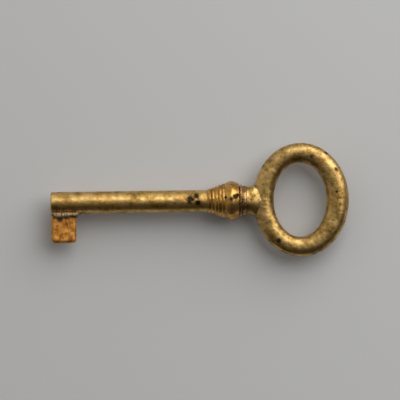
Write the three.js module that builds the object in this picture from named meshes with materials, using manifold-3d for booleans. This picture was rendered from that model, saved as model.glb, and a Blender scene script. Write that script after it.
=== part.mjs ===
// A brass furniture key, built up from turned and cast pieces that are brazed together.
// Units are millimetres. X runs along the shank from the tip to the bow, Y lies in the bow's plane
// with the bit on its negative side, and Z is up through the flat of the key as it lies.
// The origin is on the shank's axis, halfway along the key.

import * as THREE from 'three';
import { mergeVertices } from 'three/addons/utils/BufferGeometryUtils.js';
import Module from 'manifold-3d';

const wasm = await Module();
wasm.setup();

// Driving dimensions

// The barrel is the shank: a round bar, drilled from the tip for the pin of the lock, and from the
// other end for the stem's spigot. A web of solid metal is left between the two holes.
const barrelDiameter = 5.5;
const barrelLength = 39.2;
const pinHoleDiameter = 3.0;
const drillPointDepth = 0.8;
const barrelWeb = 7.0;
const tipChamfer = 0.25;
const pinHoleChamfer = 0.2;

// The bit is a plate with a tongue let into a slot milled along the underside of the barrel.
const bitWidth = 6.1;
const bitReach = 10.0;
const bitThickness = 3.2;
const bitSetback = 0.15;
const bitEdgeRound = 0.6;
const bitCornerRadius = 0.3;
const tongueThickness = 1.6;
const slotFloorWall = 0.5;

// The stem is one turning: a spigot through the collar into the barrel, the neck, and a tenon into the bow.
const spigotDiameter = 3.2;
const spigotReach = 9.0;
const spigotChamfer = 0.3;
const neckLength = 1.6;
const neckWidth = 6.9;
const neckDepth = 6.3;
const neckSink = 0.15;
const tenonDiameter = 2.4;
const tenonShare = 0.58;

// The collar has a flare of turned beads, and then the knop.
const collarStep = 0.2;
const flareBeads = 5;
const flareBeadPitch = 0.88;
const flareBeadBulge = 0.14;
const flareCurve = 1.3;
const knopDiameter = 9.8;
const knopLength = 3.6;
const knopFrontDrop = 0.55;
const knopRearDrop = 0.75;
const knopPeakShare = 0.44;
const knopCurve = 1.6;

// The neck ring is a thin turned ring with two beads, between the collar and the neck.
const frontBeadDiameter = 8.0;
const frontBeadLength = 0.65;
const rearBeadDiameter = 7.4;
const rearBeadLength = 1.05;
const neckBeadBulge = 0.15;

// The bow is an oval ring. The eye sits a little nearer to the collar than the outline does.
const bowLength = 24.0;
const bowHeight = 28.4;
const bowThickness = 4.6;
const eyeLength = 13.2;
const eyeHeight = 18.5;
const eyeOffset = -0.2;
const sectionSquareness = 2.3;

// The filler metal: a bead along both sides of the bit, with a run-out behind it, and a fillet round the neck.
const bitBeadRadius = 0.85;
const bitBeadDrop = 0.3;
const bitBeadLift = 0.2;
const runOutLength = 4.5;
const runOutDrop = 0.5;
const runOutNarrowing = 0.65;
const bowFilletWidth = 0.7;
const bowFilletDepth = 0.35;
const bowFilletReach = 1.9;
const bowFilletShare = 0.75;

// Clearances
const brazeGap = 0.1;
const endGap = 0.2;

// Facets
const roundSides = 32;
const beadSides = 16;
const ringSides = 60;
const sectionSides = 16;
const beadSteps = 3;
const curveSteps = 6;

// Values that follow
const barrelRadius = barrelDiameter / 2;
const pinHoleRadius = pinHoleDiameter / 2;
const spigotRadius = spigotDiameter / 2;
const tenonRadius = tenonDiameter / 2;
const knopRadius = knopDiameter / 2;
const flareLength = flareBeads * flareBeadPitch;
const collarLength = flareLength + knopLength;
const neckRingLength = frontBeadLength + rearBeadLength;
const keyLength = barrelLength + collarLength + neckRingLength + neckLength + bowLength;

const tipX = -keyLength / 2;
const collarX = tipX + barrelLength;
const socketX = collarX - spigotReach - endGap;
const pinHoleX = socketX - barrelWeb - drillPointDepth;
const neckRingX = collarX + collarLength;
const neckX = neckRingX + neckRingLength;
const bowX = neckX + neckLength;
const bowCentreX = bowX + bowLength / 2;
const bitX = tipX + bitSetback;
const bitRearX = bitX + bitWidth;
const slotDepth = barrelRadius - pinHoleRadius - slotFloorWall;
const limbWidth = (bowLength - eyeLength) / 2 + eyeOffset;
const tenonLength = limbWidth * tenonShare;
const neckEndX = bowX + limbWidth / 2;

// Geometry and solids

// A turned piece along X. Each profile point is [x, radius].
function turned(profile, sides = roundSides) {
  const points = profile.map(([x, radius]) => new THREE.Vector2(radius, x));
  return new THREE.LatheGeometry(points, sides).rotateZ(-Math.PI / 2);
}

function rod(startX, endX, radius) {
  return turned([[startX, 0], [startX, radius], [endX, radius], [endX, 0]]);
}

// A solid that booleans can work on.
function solid(geometry) {
  const bare = geometry.clone();
  bare.deleteAttribute('normal');
  bare.deleteAttribute('uv');
  const merged = mergeVertices(bare, 1e-4);
  return new wasm.Manifold(new wasm.Mesh({
    numProp: 3,
    vertProperties: new Float32Array(merged.attributes.position.array),
    triVerts: new Uint32Array(merged.index.array),
  }));
}

function geometryOf(manifold) {
  const mesh = manifold.getMesh();
  const geometry = new THREE.BufferGeometry();
  geometry.setAttribute('position', new THREE.BufferAttribute(new Float32Array(mesh.vertProperties), 3));
  geometry.setIndex(new THREE.BufferAttribute(new Uint32Array(mesh.triVerts), 1));
  geometry.computeVertexNormals();
  return geometry;
}

function boxBetween(low, high) {
  const size = high.map((value, i) => value - low[i]);
  const centre = high.map((value, i) => (value + low[i]) / 2);
  return new THREE.BoxGeometry(...size).translate(...centre);
}

// A bar of oval section along X. The function gives its half width and half depth at each place.
function ovalBar(startX, endX, halfSizes) {
  const profile = [[startX, 0]];
  for (let i = 0; i <= curveSteps; i += 1) {
    profile.push([THREE.MathUtils.lerp(startX, endX, i / curveSteps), 1]);
  }
  profile.push([endX, 0]);
  const geometry = turned(profile);
  const place = geometry.attributes.position;
  for (let i = 0; i < place.count; i += 1) {
    const [halfWidth, halfDepth] = halfSizes(place.getX(i));
    place.setY(i, place.getY(i) * halfWidth);
    place.setZ(i, place.getZ(i) * halfDepth);
  }
  return geometry;
}

// Profile points of a turned bead: a half wave on a straight length of the given radius.
function bead(startX, length, radius, bulge) {
  const points = [];
  for (let i = 0; i <= beadSteps; i += 1) {
    const share = i / beadSteps;
    points.push([startX + length * share, radius + bulge * Math.sin(Math.PI * share)]);
  }
  return points;
}

// Barrel

// The barrel's plain outside, grown all round to cut what seats on it.
function barrelBody(growth) {
  return rod(tipX - growth, collarX + growth, barrelRadius + growth);
}

function barrel() {
  const profile = [
    [pinHoleX + drillPointDepth, 0],
    [pinHoleX, pinHoleRadius],
    [tipX + pinHoleChamfer, pinHoleRadius],
    [tipX, pinHoleRadius + pinHoleChamfer],
    [tipX, barrelRadius - tipChamfer],
    [tipX + tipChamfer, barrelRadius],
    [collarX, barrelRadius],
    [collarX, spigotRadius + brazeGap],
    [socketX, spigotRadius + brazeGap],
    [socketX, 0],
  ];
  const halfSlot = tongueThickness / 2 + brazeGap;
  const slot = boxBetween(
    [tipX - slotDepth, -barrelRadius - slotDepth, -halfSlot],
    [bitRearX + brazeGap, -barrelRadius + slotDepth, halfSlot],
  );
  return geometryOf(solid(turned(profile)).subtract(solid(slot)));
}

// Bit

function bitOutline() {
  const top = -barrelRadius / 2;
  const left = bitX + bitEdgeRound;
  const right = bitRearX - bitEdgeRound;
  const bottom = -bitReach + bitEdgeRound;
  const shape = new THREE.Shape();
  shape.moveTo(left, top);
  shape.lineTo(left, bottom + bitCornerRadius);
  shape.quadraticCurveTo(left, bottom, left + bitCornerRadius, bottom);
  shape.lineTo(right - bitCornerRadius, bottom);
  shape.quadraticCurveTo(right, bottom, right, bottom + bitCornerRadius);
  shape.lineTo(right, top);
  shape.closePath();
  return shape;
}

// The plate, with its edges rounded, before it is cut to the barrel.
function bitPlate() {
  return new THREE.ExtrudeGeometry(bitOutline(), {
    depth: bitThickness - 2 * bitEdgeRound,
    curveSegments: 3,
    bevelEnabled: true,
    bevelThickness: bitEdgeRound,
    bevelSize: bitEdgeRound,
    bevelSegments: 3,
  }).translate(0, 0, -bitThickness / 2 + bitEdgeRound);
}

function bit() {
  const tongue = boxBetween(
    [bitX + bitEdgeRound, -barrelRadius - 2 * brazeGap, -tongueThickness / 2],
    [bitRearX, -barrelRadius + slotDepth - brazeGap, tongueThickness / 2],
  );
  const saddle = solid(barrelBody(brazeGap));
  return geometryOf(solid(bitPlate()).subtract(saddle).add(solid(tongue)));
}

// One bead of filler, with rounded ends, beside the bit.
function fillerBead(side) {
  const startX = bitX + bitEdgeRound;
  const length = bitRearX + bitBeadRadius - startX;
  const profile = [];
  for (let i = 0; i <= 2 * curveSteps; i += 1) {
    const share = i / (2 * curveSteps);
    const radius = bitBeadRadius * Math.sqrt(1 - (2 * share - 1) ** 4);
    profile.push([startX + length * share, radius]);
  }
  const lift = side * (bitThickness / 2 + bitBeadLift);
  return turned(profile, beadSides).translate(0, -barrelRadius - bitBeadDrop, lift);
}

// Filler that ran out along the barrel's underside behind the bit. It thins to nothing in a hollow curve.
function runOut() {
  const radius = barrelRadius - runOutNarrowing;
  const profile = [[bitRearX, 0]];
  for (let i = 0; i <= curveSteps; i += 1) {
    const share = i / curveSteps;
    profile.push([bitRearX + runOutLength * share, radius + runOutDrop * (1 - share) ** 2]);
  }
  profile.push([bitRearX + runOutLength, 0]);
  return turned(profile).translate(0, -runOutNarrowing, 0);
}

// Filler metal round the bit. A bead lies on each side, and the run-out joins them behind the bit.
function bitBraze() {
  const plate = boxBetween(
    [bitX, -bitReach, -bitThickness / 2 - brazeGap],
    [bitRearX + brazeGap, 0, bitThickness / 2 + brazeGap],
  );
  return geometryOf(solid(fillerBead(1))
    .add(solid(fillerBead(-1)))
    .add(solid(runOut()))
    .subtract(solid(barrelBody(brazeGap)))
    .subtract(solid(plate)));
}

// Bow

// An oval ring between two ellipses. Growth makes it fatter all round, to cut what seats on it.
function bowRing(growth = 0) {
  const tube = 0.5;
  const geometry = new THREE.TorusGeometry(1, tube, sectionSides, ringSides);
  const place = geometry.attributes.position;
  const squash = (value) => Math.sign(value) * Math.abs(value) ** (2 / sectionSquareness);
  for (let i = 0; i < place.count; i += 1) {
    const round = Math.hypot(place.getX(i), place.getY(i));
    const along = [place.getX(i) / round, place.getY(i) / round];
    const across = squash(Math.max(-1, Math.min(1, (round - 1) / tube)));
    const up = squash(Math.max(-1, Math.min(1, place.getZ(i) / tube)));
    const outer = [(bowLength / 2 + growth) * along[0], (bowHeight / 2 + growth) * along[1]];
    const inner = [
      eyeOffset + (eyeLength / 2 - growth) * along[0],
      (eyeHeight / 2 - growth) * along[1],
    ];
    place.setXYZ(
      i,
      bowCentreX + (outer[0] + inner[0]) / 2 + across * (outer[0] - inner[0]) / 2,
      (outer[1] + inner[1]) / 2 + across * (outer[1] - inner[1]) / 2,
      up * (bowThickness / 2 + growth),
    );
  }
  return geometry;
}

function bow() {
  const socket = rod(bowX - limbWidth, bowX + tenonLength + endGap, tenonRadius + brazeGap);
  return geometryOf(solid(bowRing()).subtract(solid(socket)));
}

// Stem

// The neck is nearly round at the neck ring, and flattens until it runs into the bow's crest.
function neckHalfSizes(x) {
  const share = (x - neckX) / (neckEndX - neckX);
  return [neckWidth / 2, THREE.MathUtils.lerp(neckDepth / 2, bowThickness / 2 - neckSink, share)];
}

function stem() {
  const middleX = neckX + neckLength / 2;
  const spigot = turned([
    [collarX - spigotReach, 0],
    [collarX - spigotReach, spigotRadius - spigotChamfer],
    [collarX - spigotReach + spigotChamfer, spigotRadius],
    [middleX, spigotRadius],
    [middleX, 0],
  ]);
  const tenon = rod(middleX, bowX + tenonLength, tenonRadius);
  return geometryOf(solid(ovalBar(neckX, neckEndX, neckHalfSizes))
    .subtract(solid(bowRing(brazeGap)))
    .add(solid(spigot))
    .add(solid(tenon)));
}

// Filler metal in the corner between the neck and the bow: a swelling round the neck that the bow cuts.
function bowBraze() {
  const startX = bowX - neckLength * bowFilletShare;
  const endX = bowX + bowFilletReach;
  const outside = ovalBar(startX, endX, (x) => {
    const swell = Math.sin(Math.PI * (x - startX) / (endX - startX));
    const [halfWidth, halfDepth] = neckHalfSizes(x);
    return [halfWidth + bowFilletWidth * swell, halfDepth + bowFilletDepth * swell];
  });
  const inside = ovalBar(neckX, neckEndX, (x) => neckHalfSizes(x).map((half) => half + brazeGap));
  return geometryOf(solid(outside).subtract(solid(inside)).subtract(solid(bowRing(brazeGap))));
}

// Collar

function collar() {
  const boreRadius = spigotRadius + brazeGap;
  const firstRadius = barrelRadius + collarStep;
  const knopFrontRadius = knopRadius - knopFrontDrop;
  const flareRadius = (index) => THREE.MathUtils.lerp(
    firstRadius,
    knopFrontRadius,
    (index / flareBeads) ** flareCurve,
  );
  const profile = [[collarX, boreRadius]];
  for (let i = 0; i < flareBeads; i += 1) {
    profile.push(...bead(collarX + i * flareBeadPitch, flareBeadPitch, flareRadius(i), flareBeadBulge));
  }
  const knopX = collarX + flareLength;
  const peakX = knopX + knopLength * knopPeakShare;
  for (let i = -curveSteps; i <= curveSteps; i += 1) {
    const share = Math.abs(i) / curveSteps;
    const endX = i < 0 ? knopX : neckRingX;
    const drop = i < 0 ? knopFrontDrop : knopRearDrop;
    profile.push([THREE.MathUtils.lerp(peakX, endX, share), knopRadius - drop * share ** knopCurve]);
  }
  profile.push([neckRingX, boreRadius], [collarX, boreRadius]);
  return turned(profile);
}

// Neck ring

function neckRing() {
  const boreRadius = spigotRadius + brazeGap;
  const frontRadius = frontBeadDiameter / 2 - neckBeadBulge;
  const rearRadius = rearBeadDiameter / 2 - neckBeadBulge;
  return turned([
    [neckRingX, boreRadius],
    ...bead(neckRingX, frontBeadLength, frontRadius, neckBeadBulge),
    ...bead(neckRingX + frontBeadLength, rearBeadLength, rearRadius, neckBeadBulge),
    [neckX, boreRadius],
    [neckRingX, boreRadius],
  ]);
}

// Materials and assembly

const key = new THREE.Group();

function addPiece(name, geometry, color, roughness) {
  const material = new THREE.MeshStandardMaterial({ color, roughness, metalness: 1 });
  const mesh = new THREE.Mesh(geometry, material);
  mesh.name = name;
  key.add(mesh);
}

addPiece('barrel', barrel(), 0xa8863f, 0.38);
addPiece('bit', bit(), 0xa07a38, 0.45);
addPiece('bit_braze', bitBraze(), 0x8a7a58, 0.55);
addPiece('collar', collar(), 0x9c7436, 0.38);
addPiece('neck_ring', neckRing(), 0x7a5f38, 0.45);
addPiece('stem', stem(), 0x9a7c40, 0.4);
addPiece('bow_braze', bowBraze(), 0x94763c, 0.45);
addPiece('bow', bow(), 0x8f7134, 0.4);

export default key;
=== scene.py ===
import math

import bmesh
import bpy
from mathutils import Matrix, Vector, noise


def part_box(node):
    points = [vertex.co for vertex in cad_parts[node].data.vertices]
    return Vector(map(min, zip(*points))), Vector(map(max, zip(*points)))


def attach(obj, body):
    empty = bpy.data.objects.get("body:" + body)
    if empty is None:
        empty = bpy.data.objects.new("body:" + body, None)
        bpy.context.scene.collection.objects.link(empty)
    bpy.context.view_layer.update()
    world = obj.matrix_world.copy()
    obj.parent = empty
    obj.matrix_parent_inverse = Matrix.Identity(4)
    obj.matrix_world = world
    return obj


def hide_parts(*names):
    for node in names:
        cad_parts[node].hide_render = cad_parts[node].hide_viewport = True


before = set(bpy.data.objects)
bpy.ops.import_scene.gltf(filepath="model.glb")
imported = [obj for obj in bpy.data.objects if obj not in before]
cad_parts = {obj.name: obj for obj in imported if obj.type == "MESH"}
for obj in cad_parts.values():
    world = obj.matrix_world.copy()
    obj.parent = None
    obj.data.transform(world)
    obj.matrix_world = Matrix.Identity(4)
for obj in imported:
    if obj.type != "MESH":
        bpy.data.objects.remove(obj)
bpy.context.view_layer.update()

# Barrel
# The shank of the key: a round brass bar, turned, and drilled from the tip for the lock's pin.
# Its surface is worn uneven, with small dents and dark patina, most of them in front of the collar.

MM = 0.001
barrel_low, barrel_high = (Vector(corner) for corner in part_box("barrel"))
barrel_radius = (barrel_high.z - barrel_low.z) / 2
tip_x = barrel_low.x
collar_x = barrel_high.x
pin_hole_radius = 1.5 * MM
pin_hole_depth = 22 * MM
pin_hole_chamfer = 0.15 * MM
drill_point_depth = 0.8 * MM
tip_round = 0.3 * MM
tip_round_middle = 0.3
centre_radius = 0.02 * MM
barrel_sides = 128
barrel_step = 0.16 * MM
wear_grain = 1.3 * MM
wear_depth = 0.03 * MM
smooth_radius = pin_hole_radius * 1.05


def ripple(point, grain):
    """Smooth noise at a point, from about -1 to 1, in bumps about one grain wide and two finer sizes."""
    fall_off = 1.0
    size_ratio = 2.0
    bump_sizes = 3
    return noise.fractal(point / grain, fall_off, size_ratio, bump_sizes)


def dented(point, out, dents):
    """Presses round dents into a surface point. A dent is (place, radius, depth) in millimetres."""
    for place, radius, depth in dents:
        distance = (point / MM - Vector(place)).length / radius
        point = point - out * depth * MM * math.exp(-distance * distance)
    return point


def worn(point, dents=()):
    """Moves a point of the surface off its true round, as wear does. Points near the axis stay put."""
    radius = math.hypot(point.y, point.z)
    if radius < smooth_radius:
        return point
    out = Vector((0, point.y, point.z)) / radius
    swell = ripple(point, wear_grain) * wear_depth
    return dented(point + out * swell, out, dents)


def oval_rows(stations, sides, wear=worn):
    """Worn oval rings round the X axis, one for each (x, half width, half depth)."""
    rows = []
    for x, half_width, half_depth in stations:
        ring = []
        for step in range(sides):
            turn = 2 * math.pi * step / sides
            ring.append(wear(Vector((x, half_width * math.cos(turn), half_depth * math.sin(turn)))))
        rows.append(ring)
    return rows


def turned_rows(profile, sides, wear=worn):
    """Worn round rings, one for each (x, radius) of a turned profile."""
    return oval_rows([(x, radius, radius) for x, radius in profile], sides, wear)


def spread(profile, step):
    """The same profile with points added, so that none lie further apart than the step."""
    fine = [profile[0]]
    for (x0, r0), (x1, r1) in zip(profile, profile[1:]):
        count = max(1, math.ceil(math.hypot(x1 - x0, r1 - r0) / step))
        for i in range(1, count + 1):
            share = i / count
            fine.append((x0 + (x1 - x0) * share, r0 + (r1 - r0) * share))
    return fine


def smooth_piece(name, mesh):
    """Makes a smooth-shaded object of a finished bmesh and puts it in the scene."""
    data = bpy.data.meshes.new(name)
    mesh.to_mesh(data)
    mesh.free()
    for polygon in data.polygons:
        polygon.use_smooth = True
    piece = bpy.data.objects.new(name, data)
    bpy.context.scene.collection.objects.link(piece)
    return piece


def skin(name, rows, close_rows=False):
    """A closed mesh object over rings of points. Open ends are capped with a fan."""
    mesh = bmesh.new()
    rings = [[mesh.verts.new(point) for point in row] for row in rows]
    pairs = list(zip(rings, rings[1:] + ([rings[0]] if close_rows else [])))
    for first, second in pairs:
        count = len(first)
        for i in range(count):
            j = (i + 1) % count
            mesh.faces.new((first[i], first[j], second[j], second[i]))
    if not close_rows:
        for ring in (rings[0], rings[-1]):
            centre = mesh.verts.new(sum((vert.co for vert in ring), Vector()) / len(ring))
            for i in range(len(ring)):
                mesh.faces.new((ring[i], ring[(i + 1) % len(ring)], centre))
    bmesh.ops.recalc_face_normals(mesh, faces=mesh.faces)
    return smooth_piece(name, mesh)


shank_dents = [
    ((-2.6, 0.9, 2.6), 0.55, 0.16), ((-1.9, 0.3, 2.7), 0.45, 0.18), ((-1.2, 1.2, 2.5), 0.5, 0.14),
    ((-0.6, 0.6, 2.7), 0.35, 0.12), ((-3.4, 0.2, 2.7), 0.4, 0.08), ((-8.0, 1.4, 2.4), 0.5, 0.05),
    ((-14.0, 0.9, 2.6), 0.6, 0.04), ((-24.0, 1.2, 2.5), 0.7, 0.04), ((-6.2, -0.8, 2.6), 0.5, 0.06),
]
barrel_profile = spread([
    (tip_x + pin_hole_depth, centre_radius),
    (tip_x + pin_hole_depth - drill_point_depth, pin_hole_radius),
    (tip_x + pin_hole_chamfer, pin_hole_radius),
    (tip_x, pin_hole_radius + pin_hole_chamfer),
    (tip_x, barrel_radius - tip_round),
    (tip_x + tip_round * tip_round_middle, barrel_radius - tip_round * tip_round_middle),
    (tip_x + tip_round, barrel_radius),
    (collar_x, barrel_radius),
    (collar_x, centre_radius),
], barrel_step)
barrel_rows = turned_rows(barrel_profile, barrel_sides, lambda point: worn(point, shank_dents))
barrel = skin("barrel_shank", barrel_rows)


def linear(hex_colour):
    """An sRGB hex colour as the linear values that Blender's sockets hold."""
    channels = [int(hex_colour[i:i + 2], 16) / 255 for i in (1, 3, 5)]
    return [c / 12.92 if c <= 0.04045 else ((c + 0.055) / 1.055) ** 2.4 for c in channels] + [1.0]


def add_node(tree, kind, links=None, inputs=None, **settings):
    """Adds a node with its settings, its sockets' values, and links into its sockets."""
    node = tree.nodes.new(kind)
    for name, value in settings.items():
        setattr(node, name, value)
    for name, value in (inputs or {}).items():
        node.inputs[name].default_value = value
    for name, socket in (links or {}).items():
        tree.links.new(socket, node.inputs[name])
    return node


def ramp(tree, source, stops):
    """A colour that follows a number, from (place, hex colour) stops."""
    node = add_node(tree, "ShaderNodeValToRGB", {"Fac": source})
    bar = node.color_ramp
    while len(bar.elements) < len(stops):
        bar.elements.new(0.5)
    for element, (place, colour) in zip(bar.elements, stops):
        element.position = place
        element.color = linear(colour)
    return node.outputs["Color"]


def mapped(tree, source, from_low, from_high, to_low, to_high):
    """A number moved from one range to another, and held within it."""
    limits = {"From Min": from_low, "From Max": from_high, "To Min": to_low, "To Max": to_high}
    return add_node(tree, "ShaderNodeMapRange", {"Value": source}, limits).outputs["Result"]


def tinted(tree, mask, colour, tint):
    """A colour mixed towards a fixed tint by a mask. The Mix node's colours are its sockets 6 and 7."""
    node = add_node(tree, "ShaderNodeMix", {0: mask, 6: colour}, {7: linear(tint)}, data_type="RGBA")
    return node.outputs[2]


def stain_and_shade_spot(tree, place, centre, radius, cloud):
    """A ragged round mask about a point in millimetres, 1 inside it and 0 outside. It marks tarnish
    patches and patches of painted shade.
    """
    cloud_pull = 1.6
    full_at = -0.35
    gone_at = 0.25
    middle = [value * MM for value in centre]
    away = add_node(tree, "ShaderNodeVectorMath", {0: place}, {1: middle}, operation="DISTANCE")
    ragged = add_node(tree, "ShaderNodeMath", {0: cloud, 2: away.outputs["Value"]},
                      {1: -cloud_pull * radius * MM}, operation="MULTIPLY_ADD")
    return mapped(tree, ragged.outputs[0], full_at * radius * MM, gone_at * radius * MM, 1.0, 0.0)


def aged_brass(name, light, middle, dark, patch_mm=2.2, spots=0.5, rough=(0.50, 0.30), stains_and_shade=()):
    """Old brass: bright where it is rubbed, tarnished brown in patches, and black in its pits.

    The patches are about patch_mm wide, spots is how black the pits are, and rough is the
    roughness of the dark and of the light patches. Each entry in the stains list is (place, radius,
    colour): some are real tarnish, and some are painted shade.
    """
    pit_mm = 0.7
    pit_black = "#1c160c"
    pit_full_at = 0.32
    pit_gone_at = 0.42
    cloud_low = 0.3
    cloud_high = 0.7
    bump_strength = 0.4
    bump_height = 0.07 * MM
    material = bpy.data.materials.new(name)
    material.use_nodes = True
    tree = material.node_tree
    shader = tree.nodes["Principled BSDF"]
    place = add_node(tree, "ShaderNodeTexCoord").outputs["Object"]
    cloud = add_node(tree, "ShaderNodeTexNoise", {"Vector": place},
                     {"Scale": 1000 / patch_mm, "Detail": 6, "Roughness": 0.66}).outputs["Fac"]
    pits = add_node(tree, "ShaderNodeTexNoise", {"Vector": place},
                    {"Scale": 1000 / pit_mm, "Detail": 3, "Roughness": 0.6}).outputs["Fac"]
    colour = ramp(tree, cloud, [(0.30, dark), (0.46, middle), (0.62, light)])
    colour = tinted(tree, mapped(tree, pits, pit_full_at, pit_gone_at, spots, 0.0), colour, pit_black)
    for centre, radius, tint in stains_and_shade:
        colour = tinted(tree, stain_and_shade_spot(tree, place, centre, radius, cloud), colour, tint)
    dulness = mapped(tree, cloud, cloud_low, cloud_high, rough[0], rough[1])
    bump = add_node(tree, "ShaderNodeBump", {"Height": pits},
                    {"Strength": bump_strength, "Distance": bump_height})
    tree.links.new(colour, shader.inputs["Base Color"])
    tree.links.new(dulness, shader.inputs["Roughness"])
    tree.links.new(bump.outputs["Normal"], shader.inputs["Normal"])
    shader.inputs["Metallic"].default_value = 1.0
    return material


# Brass that was turned and then rubbed by hands: satin gold under broad, thin brown tarnish,
# with dark patina where fingers don't reach, in front of the collar.
shank_brass = aged_brass(
    "turned_brass_worn", "#dcb874", "#bc944e", "#6a5230", patch_mm=2.6, spots=0.35, rough=(0.46, 0.32),
    stains_and_shade=[
        ((-2.4, 0.6, 2.7), 1.5, "#2c2214"),
        ((-1.0, 1.4, 2.5), 1.2, "#3a2c1c"),
        ((-0.4, -0.4, 2.7), 1.0, "#2c2214"),
    ])
barrel.data.materials.append(shank_brass)
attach(barrel, "root")
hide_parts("barrel")

# Bit
# A plain rectangular brass plate let into the underside of the barrel at the tip and brazed there.
# Its edges are filed round, and its face is mottled with orange and brown patina.

bit_low, bit_high = (Vector(corner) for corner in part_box("bit"))
bit_edge = 0.75 * MM
bit_edge_steps = 6
bit_top = -barrel_radius * 0.75
bit_voxel = 0.08 * MM
bit_grain = 1.3 * MM
bit_wear = 0.05 * MM


def remeshed(piece, voxel):
    """Meshes a piece again with even small faces, and drops the modifier."""
    remesh = piece.modifiers.new("even", "REMESH")
    remesh.mode = "VOXEL"
    remesh.voxel_size = voxel
    graph = bpy.context.evaluated_depsgraph_get()
    fresh = bpy.data.meshes.new_from_object(piece.evaluated_get(graph))
    piece.modifiers.clear()
    old = piece.data
    piece.data = fresh
    bpy.data.meshes.remove(old)
    for polygon in fresh.polygons:
        polygon.use_smooth = True
    return piece


def rounded_block(name, low, high):
    """A block with rounded edges, meshed evenly so that its surface can be worn."""
    mesh = bmesh.new()
    bmesh.ops.create_cube(mesh, size=1)
    centre = (low + high) / 2
    size = high - low
    for vert in mesh.verts:
        vert.co = Vector([centre[i] + vert.co[i] * size[i] for i in range(3)])
    bmesh.ops.bevel(mesh, geom=list(mesh.edges), offset=bit_edge, segments=bit_edge_steps,
                    profile=0.5, affect="EDGES")
    return remeshed(smooth_piece(name, mesh), bit_voxel)


def roughen(piece, grain, depth):
    """Pushes every vertex along its normal by smooth noise."""
    moves = [vert.normal * ripple(vert.co, grain) * depth for vert in piece.data.vertices]
    for vert, move in zip(piece.data.vertices, moves):
        vert.co += move


bit = rounded_block("bit_plate", bit_low, Vector((bit_high.x, bit_top, bit_high.z)))
roughen(bit, bit_grain, bit_wear)
# Filed brass that was heated for brazing: a rough skin mottled gold and orange, so it has no clear
# highlight. The two purple-brown patches just below the joint are painted shade under the braze bead.
bit.data.materials.append(aged_brass(
    "filed_brass_mottled", "#f0b45c", "#c8883c", "#7c5a28", patch_mm=1.5, spots=0.4, rough=(0.72, 0.58),
    # Both patches are painted shade under the braze bead.
    stains_and_shade=[((-35.0, -3.9, 1.6), 1.1, "#5c4038"), ((-33.4, -3.6, 1.6), 0.8, "#6a4c38")]))
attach(bit, "root")
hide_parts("bit")

# Braze at the bit
# Filler metal that was run into both corners of the bit and out along the barrel behind it.
# It has set in a row of dull, uneven lumps that get lower away from the bit.

braze_voxel = 0.07 * MM
braze_grain = 0.6 * MM
braze_wear = 0.05 * MM
bead_count = 9
bead_inset = 0.8 * MM
bead_radius = 0.75 * MM
bead_drop = 0.25 * MM
bead_out = 1.6 * MM
bead_unevenness = 0.15 * MM
bead_wave_steps = (1.7, 3.1, 0.4)
run_out_count = 12
run_out_length = 4.2 * MM
run_out_proud = 0.42 * MM
run_out_sink = 0.75 * MM
run_out_half_length = 0.7 * MM
run_out_half_height = 0.76 * MM
run_out_half_width = 1.9 * MM
run_out_narrowing = 0.8 * MM


def lumps(name, balls, voxel):
    """One body over many overlapping balls, as molten filler sets. Each ball is (centre, half sizes)."""
    mesh = bmesh.new()
    for centre, halves in balls:
        made = bmesh.ops.create_icosphere(mesh, subdivisions=3, radius=1)
        for vert in made["verts"]:
            vert.co = Vector([centre[i] + vert.co[i] * halves[i] for i in range(3)])
    return remeshed(smooth_piece(name, mesh), voxel)


balls = []
for side in (1, -1):
    for i in range(bead_count):
        share = i / (bead_count - 1)
        x = bit_low.x + bead_inset + (bit_high.x - bit_low.x - bead_inset) * share
        wave_place = (i * bead_wave_steps[0], side * bead_wave_steps[1], bead_wave_steps[2])
        swell = bead_unevenness * noise.noise(Vector(wave_place))
        centre = Vector((x, -barrel_radius - (bead_drop + swell), side * (bead_out + swell)))
        balls.append((centre, (bead_radius, bead_radius + swell, bead_radius)))
for i in range(run_out_count):
    share = i / (run_out_count - 1)
    proud = run_out_proud * (1 - share) ** 2
    centre = Vector((bit_high.x + run_out_length * share, -barrel_radius + run_out_sink - proud, 0))
    half_width = run_out_half_width - run_out_narrowing * share
    balls.append((centre, (run_out_half_length, run_out_half_height, half_width)))
bit_braze = lumps("bit_braze_bead", balls, braze_voxel)
roughen(bit_braze, braze_grain, braze_wear)
# Brass filler left as it cooled: grey-gold, grainy and dull, with dark flux in its pits.
bit_braze.data.materials.append(aged_brass(
    "braze_filler_dull", "#c4ac88", "#94805c", "#3a3020", patch_mm=0.9, spots=0.6, rough=(0.75, 0.6)))
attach(bit_braze, "root")
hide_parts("bit_braze")

# Collar
# A turned brass collar on the stem: a flare of raised ribs, each larger across than the last, and
# then the round knop. Each rib edge below is (distance from the barrel, radius) in millimetres.
# The real bore is filled by the stem, so the collar is made here without it and capped solid.

collar_low, collar_high = (Vector(corner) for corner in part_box("collar"))
turned_sides = 144
collar_step = 0.12 * MM
cap_radius = 0.5 * MM
collar_start_step = 0.06 * MM
rib_edges = [(0.0, 2.85), (0.9, 3.12), (1.75, 3.4), (2.6, 3.8), (3.55, 4.05), (4.25, 4.38)]
rib_steps = 8
rib_bulge = 0.14
rib_fullness = 0.7
rib_slope = 0.35
knop_radius = (collar_high.z - collar_low.z) / 2
knop_peak_x = collar_x + 6.0 * MM
knop_front_x = collar_x + 4.3 * MM
knop_front_radius = 4.3 * MM
knop_rear_x = collar_high.x - 0.15 * MM
knop_rear_drop = 0.72 * MM
knop_back_radius = 3.6 * MM
knop_back_round = 0.1 * MM
knop_front_curve = 1.7
knop_rear_curve = 1.5
knop_steps = 12

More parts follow.
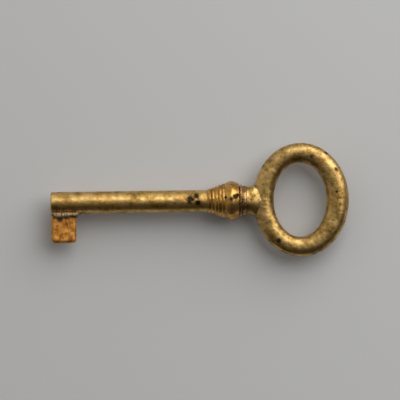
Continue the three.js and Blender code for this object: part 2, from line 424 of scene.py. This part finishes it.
collar_profile = [(collar_x, cap_radius), (collar_x, barrel_radius + collar_start_step)]
for (start, radius), (stop, next_radius) in zip(rib_edges, rib_edges[1:]):
    for i in range(rib_steps + 1):
        share = i / rib_steps
        bulge = rib_bulge * math.sin(math.pi * share) ** rib_fullness
        base = radius + (next_radius - radius) * rib_slope * share
        collar_profile.append((collar_x + (start + (stop - start) * share) * MM, (base + bulge) * MM))
for i in range(knop_steps + 1):
    share = 1 - i / knop_steps
    x = knop_peak_x + (knop_front_x - knop_peak_x) * share
    collar_profile.append((x, knop_radius - (knop_radius - knop_front_radius) * share ** knop_front_curve))
for i in range(1, knop_steps + 1):
    share = i / knop_steps
    x = knop_peak_x + (knop_rear_x - knop_peak_x) * share
    collar_profile.append((x, knop_radius - knop_rear_drop * share ** knop_rear_curve))
collar_profile += [
    (collar_high.x - knop_back_round, knop_back_radius + knop_back_round),
    (collar_high.x, knop_back_radius),
    (collar_high.x, cap_radius),
]
collar = skin("collar_knop", turned_rows(spread(collar_profile, collar_step), turned_sides))
# Turned brass that stands proud of the rest, so hands have polished it: sharper highlights than the
# shank's, with black tarnish in two spots on the knop's front half. Two black spots on its steep rear
# shoulder are painted shade, where it turns away from the light.
collar.data.materials.append(aged_brass(
    "turned_brass_knop", "#e0b268", "#bc8c44", "#5c4420", patch_mm=2.0, spots=0.5, rough=(0.42, 0.28),
    stains_and_shade=[
        # The first spot and the last are painted shade on the knop's rear shoulder; the middle two are
        # tarnish.
        ((8.9, 1.0, 4.7), 0.9, "#2c1c08"),
        ((7.9, 0.4, 4.6), 0.7, "#3a280c"),
        ((6.4, 0.8, 4.3), 0.5, "#3a280c"),
        ((9.5, 1.5, 4.2), 0.6, "#1c1408"),
    ]))
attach(collar, "root")
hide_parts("collar")

# Neck ring
# A thin brass ring, turned with two beads and slid on the stem behind the knop.
# Each bead below is (start, stop, radius) in millimetres from the ring's front face.
# Like the collar, it is made here without its bore.

ring_low, ring_high = (Vector(corner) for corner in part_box("neck_ring"))
ring_step = 0.1 * MM
ring_front_radius = 3.75 * MM
ring_rear_radius = 3.3 * MM
ring_beads = ((0.0, 0.65, 3.82), (0.65, 1.7, 3.52))
ring_bead_steps = 8
ring_bead_bulge = 0.17
ring_bead_fullness = 0.8

ring_profile = [(ring_low.x, cap_radius), (ring_low.x, ring_front_radius)]
for start, stop, radius in ring_beads:
    for i in range(ring_bead_steps + 1):
        share = i / ring_bead_steps
        bulge = ring_bead_bulge * math.sin(math.pi * share) ** ring_bead_fullness
        ring_profile.append((ring_low.x + (start + (stop - start) * share) * MM, (radius + bulge) * MM))
ring_profile += [(ring_high.x, ring_rear_radius), (ring_high.x, cap_radius)]
neck_ring = skin("neck_ring_beads", turned_rows(spread(ring_profile, ring_step), turned_sides))
# Turned brass that nothing rubs, behind the knop: it has gone brown, with the blackest pits.
neck_ring.data.materials.append(aged_brass(
    "turned_brass_neck_ring", "#cfa878", "#8c6a44", "#2e2010", patch_mm=1.0, spots=0.8))
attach(neck_ring, "root")
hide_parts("neck_ring")

# Stem
# The brass turning that holds the key together. Only its oval neck shows, between the ring and the
# bow, so only that is made: it flares and flattens until it ends inside the bow.

bow_low, bow_high = (Vector(corner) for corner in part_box("bow"))
neck_stop = bow_low.x + 2.4 * MM
neck_steps = 40
neck_sides = 96
neck_half_width = 3.47 * MM
neck_half_depth = 3.15 * MM
neck_thinning = 1.0 * MM
neck_flare = 0.45 * MM
neck_flare_start = 0.15
neck_flare_run = 0.3

neck_stations = []
for i in range(neck_steps + 1):
    share = i / neck_steps
    flared = min(1.0, max(0.0, (share - neck_flare_start) / neck_flare_run))
    x = ring_high.x + (neck_stop - ring_high.x) * share
    half_width = neck_half_width + neck_flare * flared ** 2
    neck_stations.append((x, half_width, neck_half_depth - neck_thinning * share))
stem = skin("stem_neck", oval_rows(neck_stations, neck_sides))
# Turned brass between two shoulders: gold like the shank, with darker brown tarnish.
stem.data.materials.append(aged_brass("turned_brass_neck", "#d4b070", "#a8844a", "#4c3c1c"))
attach(stem, "root")
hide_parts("stem")

# Bow
# The oval ring that is held to turn the key: brass, cast in a mould and dressed smooth.
# It lies between two ellipses, with a section that is a little squarer than round.

bow_centre = (bow_low + bow_high) / 2
bow_halves = (bow_high - bow_low) / 2
eye_halves = (6.6 * MM, 9.25 * MM)
eye_shift = -0.2 * MM
section_squareness = 2.25
section_power = 2 / section_squareness
bow_rings = 420
bow_sides = 96
bow_grain = 1.4 * MM
bow_wear = 0.05 * MM
outward_probe = 0.1 * MM


def bow_point(along, round_turn, growth=0.0):
    """A point on the ring's skin: along is the turn round the eye, round_turn the turn round the limb."""
    across = math.copysign(abs(math.cos(round_turn)) ** section_power, math.cos(round_turn))
    up = math.copysign(abs(math.sin(round_turn)) ** section_power, math.sin(round_turn))
    outer = Vector(((bow_halves.x + growth) * math.cos(along), (bow_halves.y + growth) * math.sin(along)))
    inner = Vector((eye_shift + (eye_halves[0] - growth) * math.cos(along),
                    (eye_halves[1] - growth) * math.sin(along)))
    middle = (outer + inner) / 2 + (outer - inner) / 2 * across
    return Vector((bow_centre.x + middle.x, middle.y, up * (bow_halves.z + growth)))


bow_rows = []
for i in range(bow_rings):
    along = 2 * math.pi * i / bow_rings
    ring = []
    for j in range(bow_sides):
        round_turn = 2 * math.pi * j / bow_sides
        base = bow_point(along, round_turn)
        out = (bow_point(along, round_turn, outward_probe) - base).normalized()
        ring.append(base + out * ripple(base, bow_grain) * bow_wear)
    bow_rows.append(ring)
bow = skin("bow_ring", bow_rows, close_rows=True)
# Cast brass, dressed and then handled: satin gold under broad brown patches, with dark stains where
# the casting was porous.
bow.data.materials.append(aged_brass(
    "cast_brass_bow", "#d4b070", "#ac8a4c", "#5a4826", patch_mm=2.4, spots=0.45, rough=(0.46, 0.32),
    stains_and_shade=[
        ((28.1, 10.9, 1.9), 0.8, "#2c2414"),
        ((31.9, 11.9, 1.3), 0.8, "#3a2e18"),
        ((34.2, 7.5, 2.2), 0.7, "#3a2e18"),
        ((34.2, 1.9, 2.3), 0.5, "#3a2e18"),
        ((19.5, -10.2, 2.2), 0.8, "#4a3418"),
    ]))
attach(bow, "root")
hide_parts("bow")

# Braze at the bow
# Filler metal that was run into the corner between the neck and the bow, and dressed to a small
# fillet. It is a sleeve round the neck that swells where the bow begins.

fillet_start = bow_low.x - 0.9 * MM
fillet_stop = bow_low.x + 1.7 * MM
fillet_steps = 40
fillet_sides = 96
fillet_half_width = 3.4 * MM
fillet_swell = 0.75 * MM
fillet_swell_share = 0.75
fillet_swell_curve = 3
fillet_half_depth = 2.8 * MM
fillet_thinning = 0.75 * MM
fillet_depth_swell = 0.08 * MM

fillet_stations = []
for i in range(fillet_steps + 1):
    share = i / fillet_steps
    x = fillet_start + (fillet_stop - fillet_start) * share
    swell = math.sin(math.pi * min(share * fillet_swell_share, 0.5)) ** fillet_swell_curve
    half_depth = fillet_half_depth - fillet_thinning * share + fillet_depth_swell * swell
    fillet_stations.append((x, fillet_half_width + fillet_swell * swell, half_depth))
bow_braze = skin("bow_braze_fillet", oval_rows(fillet_stations, fillet_sides))
# Brass filler that was dressed with a file: brown-gold, in smaller patches than the parts it joins.
bow_braze.data.materials.append(aged_brass(
    "braze_filler_at_bow", "#c49e60", "#94703c", "#3a2c14", patch_mm=1.2, spots=0.7))
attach(bow_braze, "root")
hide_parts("bow_braze")

# Floor
# A plain sheet of pale grey paper that the key lies on. It is no part of the key.
# It touches the lowest point of the knop, where the key is thickest.

floor_z = collar_low.z
floor_reach = 1.5
floor_grey = "#cbcbcb"
floor_roughness = 0.9

floor_corners = []
for x, y in ((-1, -1), (1, -1), (1, 1), (-1, 1)):
    floor_corners.append((x * floor_reach, y * floor_reach, floor_z))
floor_mesh = bpy.data.meshes.new("floor_sheet")
floor_mesh.from_pydata(floor_corners, [], [(0, 1, 2, 3)])
floor = bpy.data.objects.new("floor_sheet", floor_mesh)
bpy.context.scene.collection.objects.link(floor)
# Uncoated paper: an even grey with no shine.
floor_paper = bpy.data.materials.new("pale_grey_paper")
floor_paper.use_nodes = True
paper_shader = floor_paper.node_tree.nodes["Principled BSDF"]
paper_shader.inputs["Base Color"].default_value = linear(floor_grey)
paper_shader.inputs["Roughness"].default_value = floor_roughness
floor.data.materials.append(floor_paper)

# Light and camera
# One wide soft lamp stands above the key, beyond it and to the right. The room is dim, and brighter
# beyond the key than on the near side. The camera looks straight down, turned a little with the key.

lamp_place = (0.30, 0.34, 0.40)
lamp_width = 0.70
lamp_power = 3.4
room_white = "#f4f2ec"
bright_side = (-0.40, 0.85, 0.0)
room_dim_at = -0.35
room_bright_at = 0.8
room_dim = 0.04
room_bright = 0.75
photo_pixels = 400
mm_per_pixel = 0.25
axis_pixel = (199.8, 201.1)
key_tilt = 0.774
camera_height = 0.9
camera_reach = 5
sensor_width = 36

lamp_data = bpy.data.lights.new("window_lamp", "AREA")
lamp_data.size = lamp_width
lamp_data.energy = lamp_power
lamp = bpy.data.objects.new("window_lamp", lamp_data)
lamp.location = lamp_place
lamp.rotation_euler = (-Vector(lamp_place)).to_track_quat("-Z", "Y").to_euler()
bpy.context.scene.collection.objects.link(lamp)

world = bpy.data.worlds.new("dim_room")
world.use_nodes = True
room = world.node_tree
direction = add_node(room, "ShaderNodeTexCoord").outputs["Generated"]
side = add_node(room, "ShaderNodeVectorMath", {0: direction}, {1: bright_side}, operation="DOT_PRODUCT")
strength = mapped(room, side.outputs["Value"], room_dim_at, room_bright_at, room_dim, room_bright)
room.links.new(strength, room.nodes["Background"].inputs["Strength"])
room.nodes["Background"].inputs["Color"].default_value = linear(room_white)
bpy.context.scene.world = world

camera_data = bpy.data.cameras.new("photo_camera")
camera_data.sensor_width = sensor_width
view_width = photo_pixels * mm_per_pixel * MM
camera_data.lens = camera_data.sensor_width * camera_height / view_width
camera_data.clip_end = camera_reach
camera = bpy.data.objects.new("photo_camera", camera_data)
shift_x = (photo_pixels / 2 - axis_pixel[0]) * mm_per_pixel * MM
shift_y = (axis_pixel[1] - photo_pixels / 2) * mm_per_pixel * MM
camera.location = (shift_x, shift_y, camera_height)
camera.rotation_euler = (0, 0, -math.radians(key_tilt))
bpy.context.scene.collection.objects.link(camera)
bpy.context.scene.camera = camera
bpy.context.scene.view_settings.view_transform = "Standard"
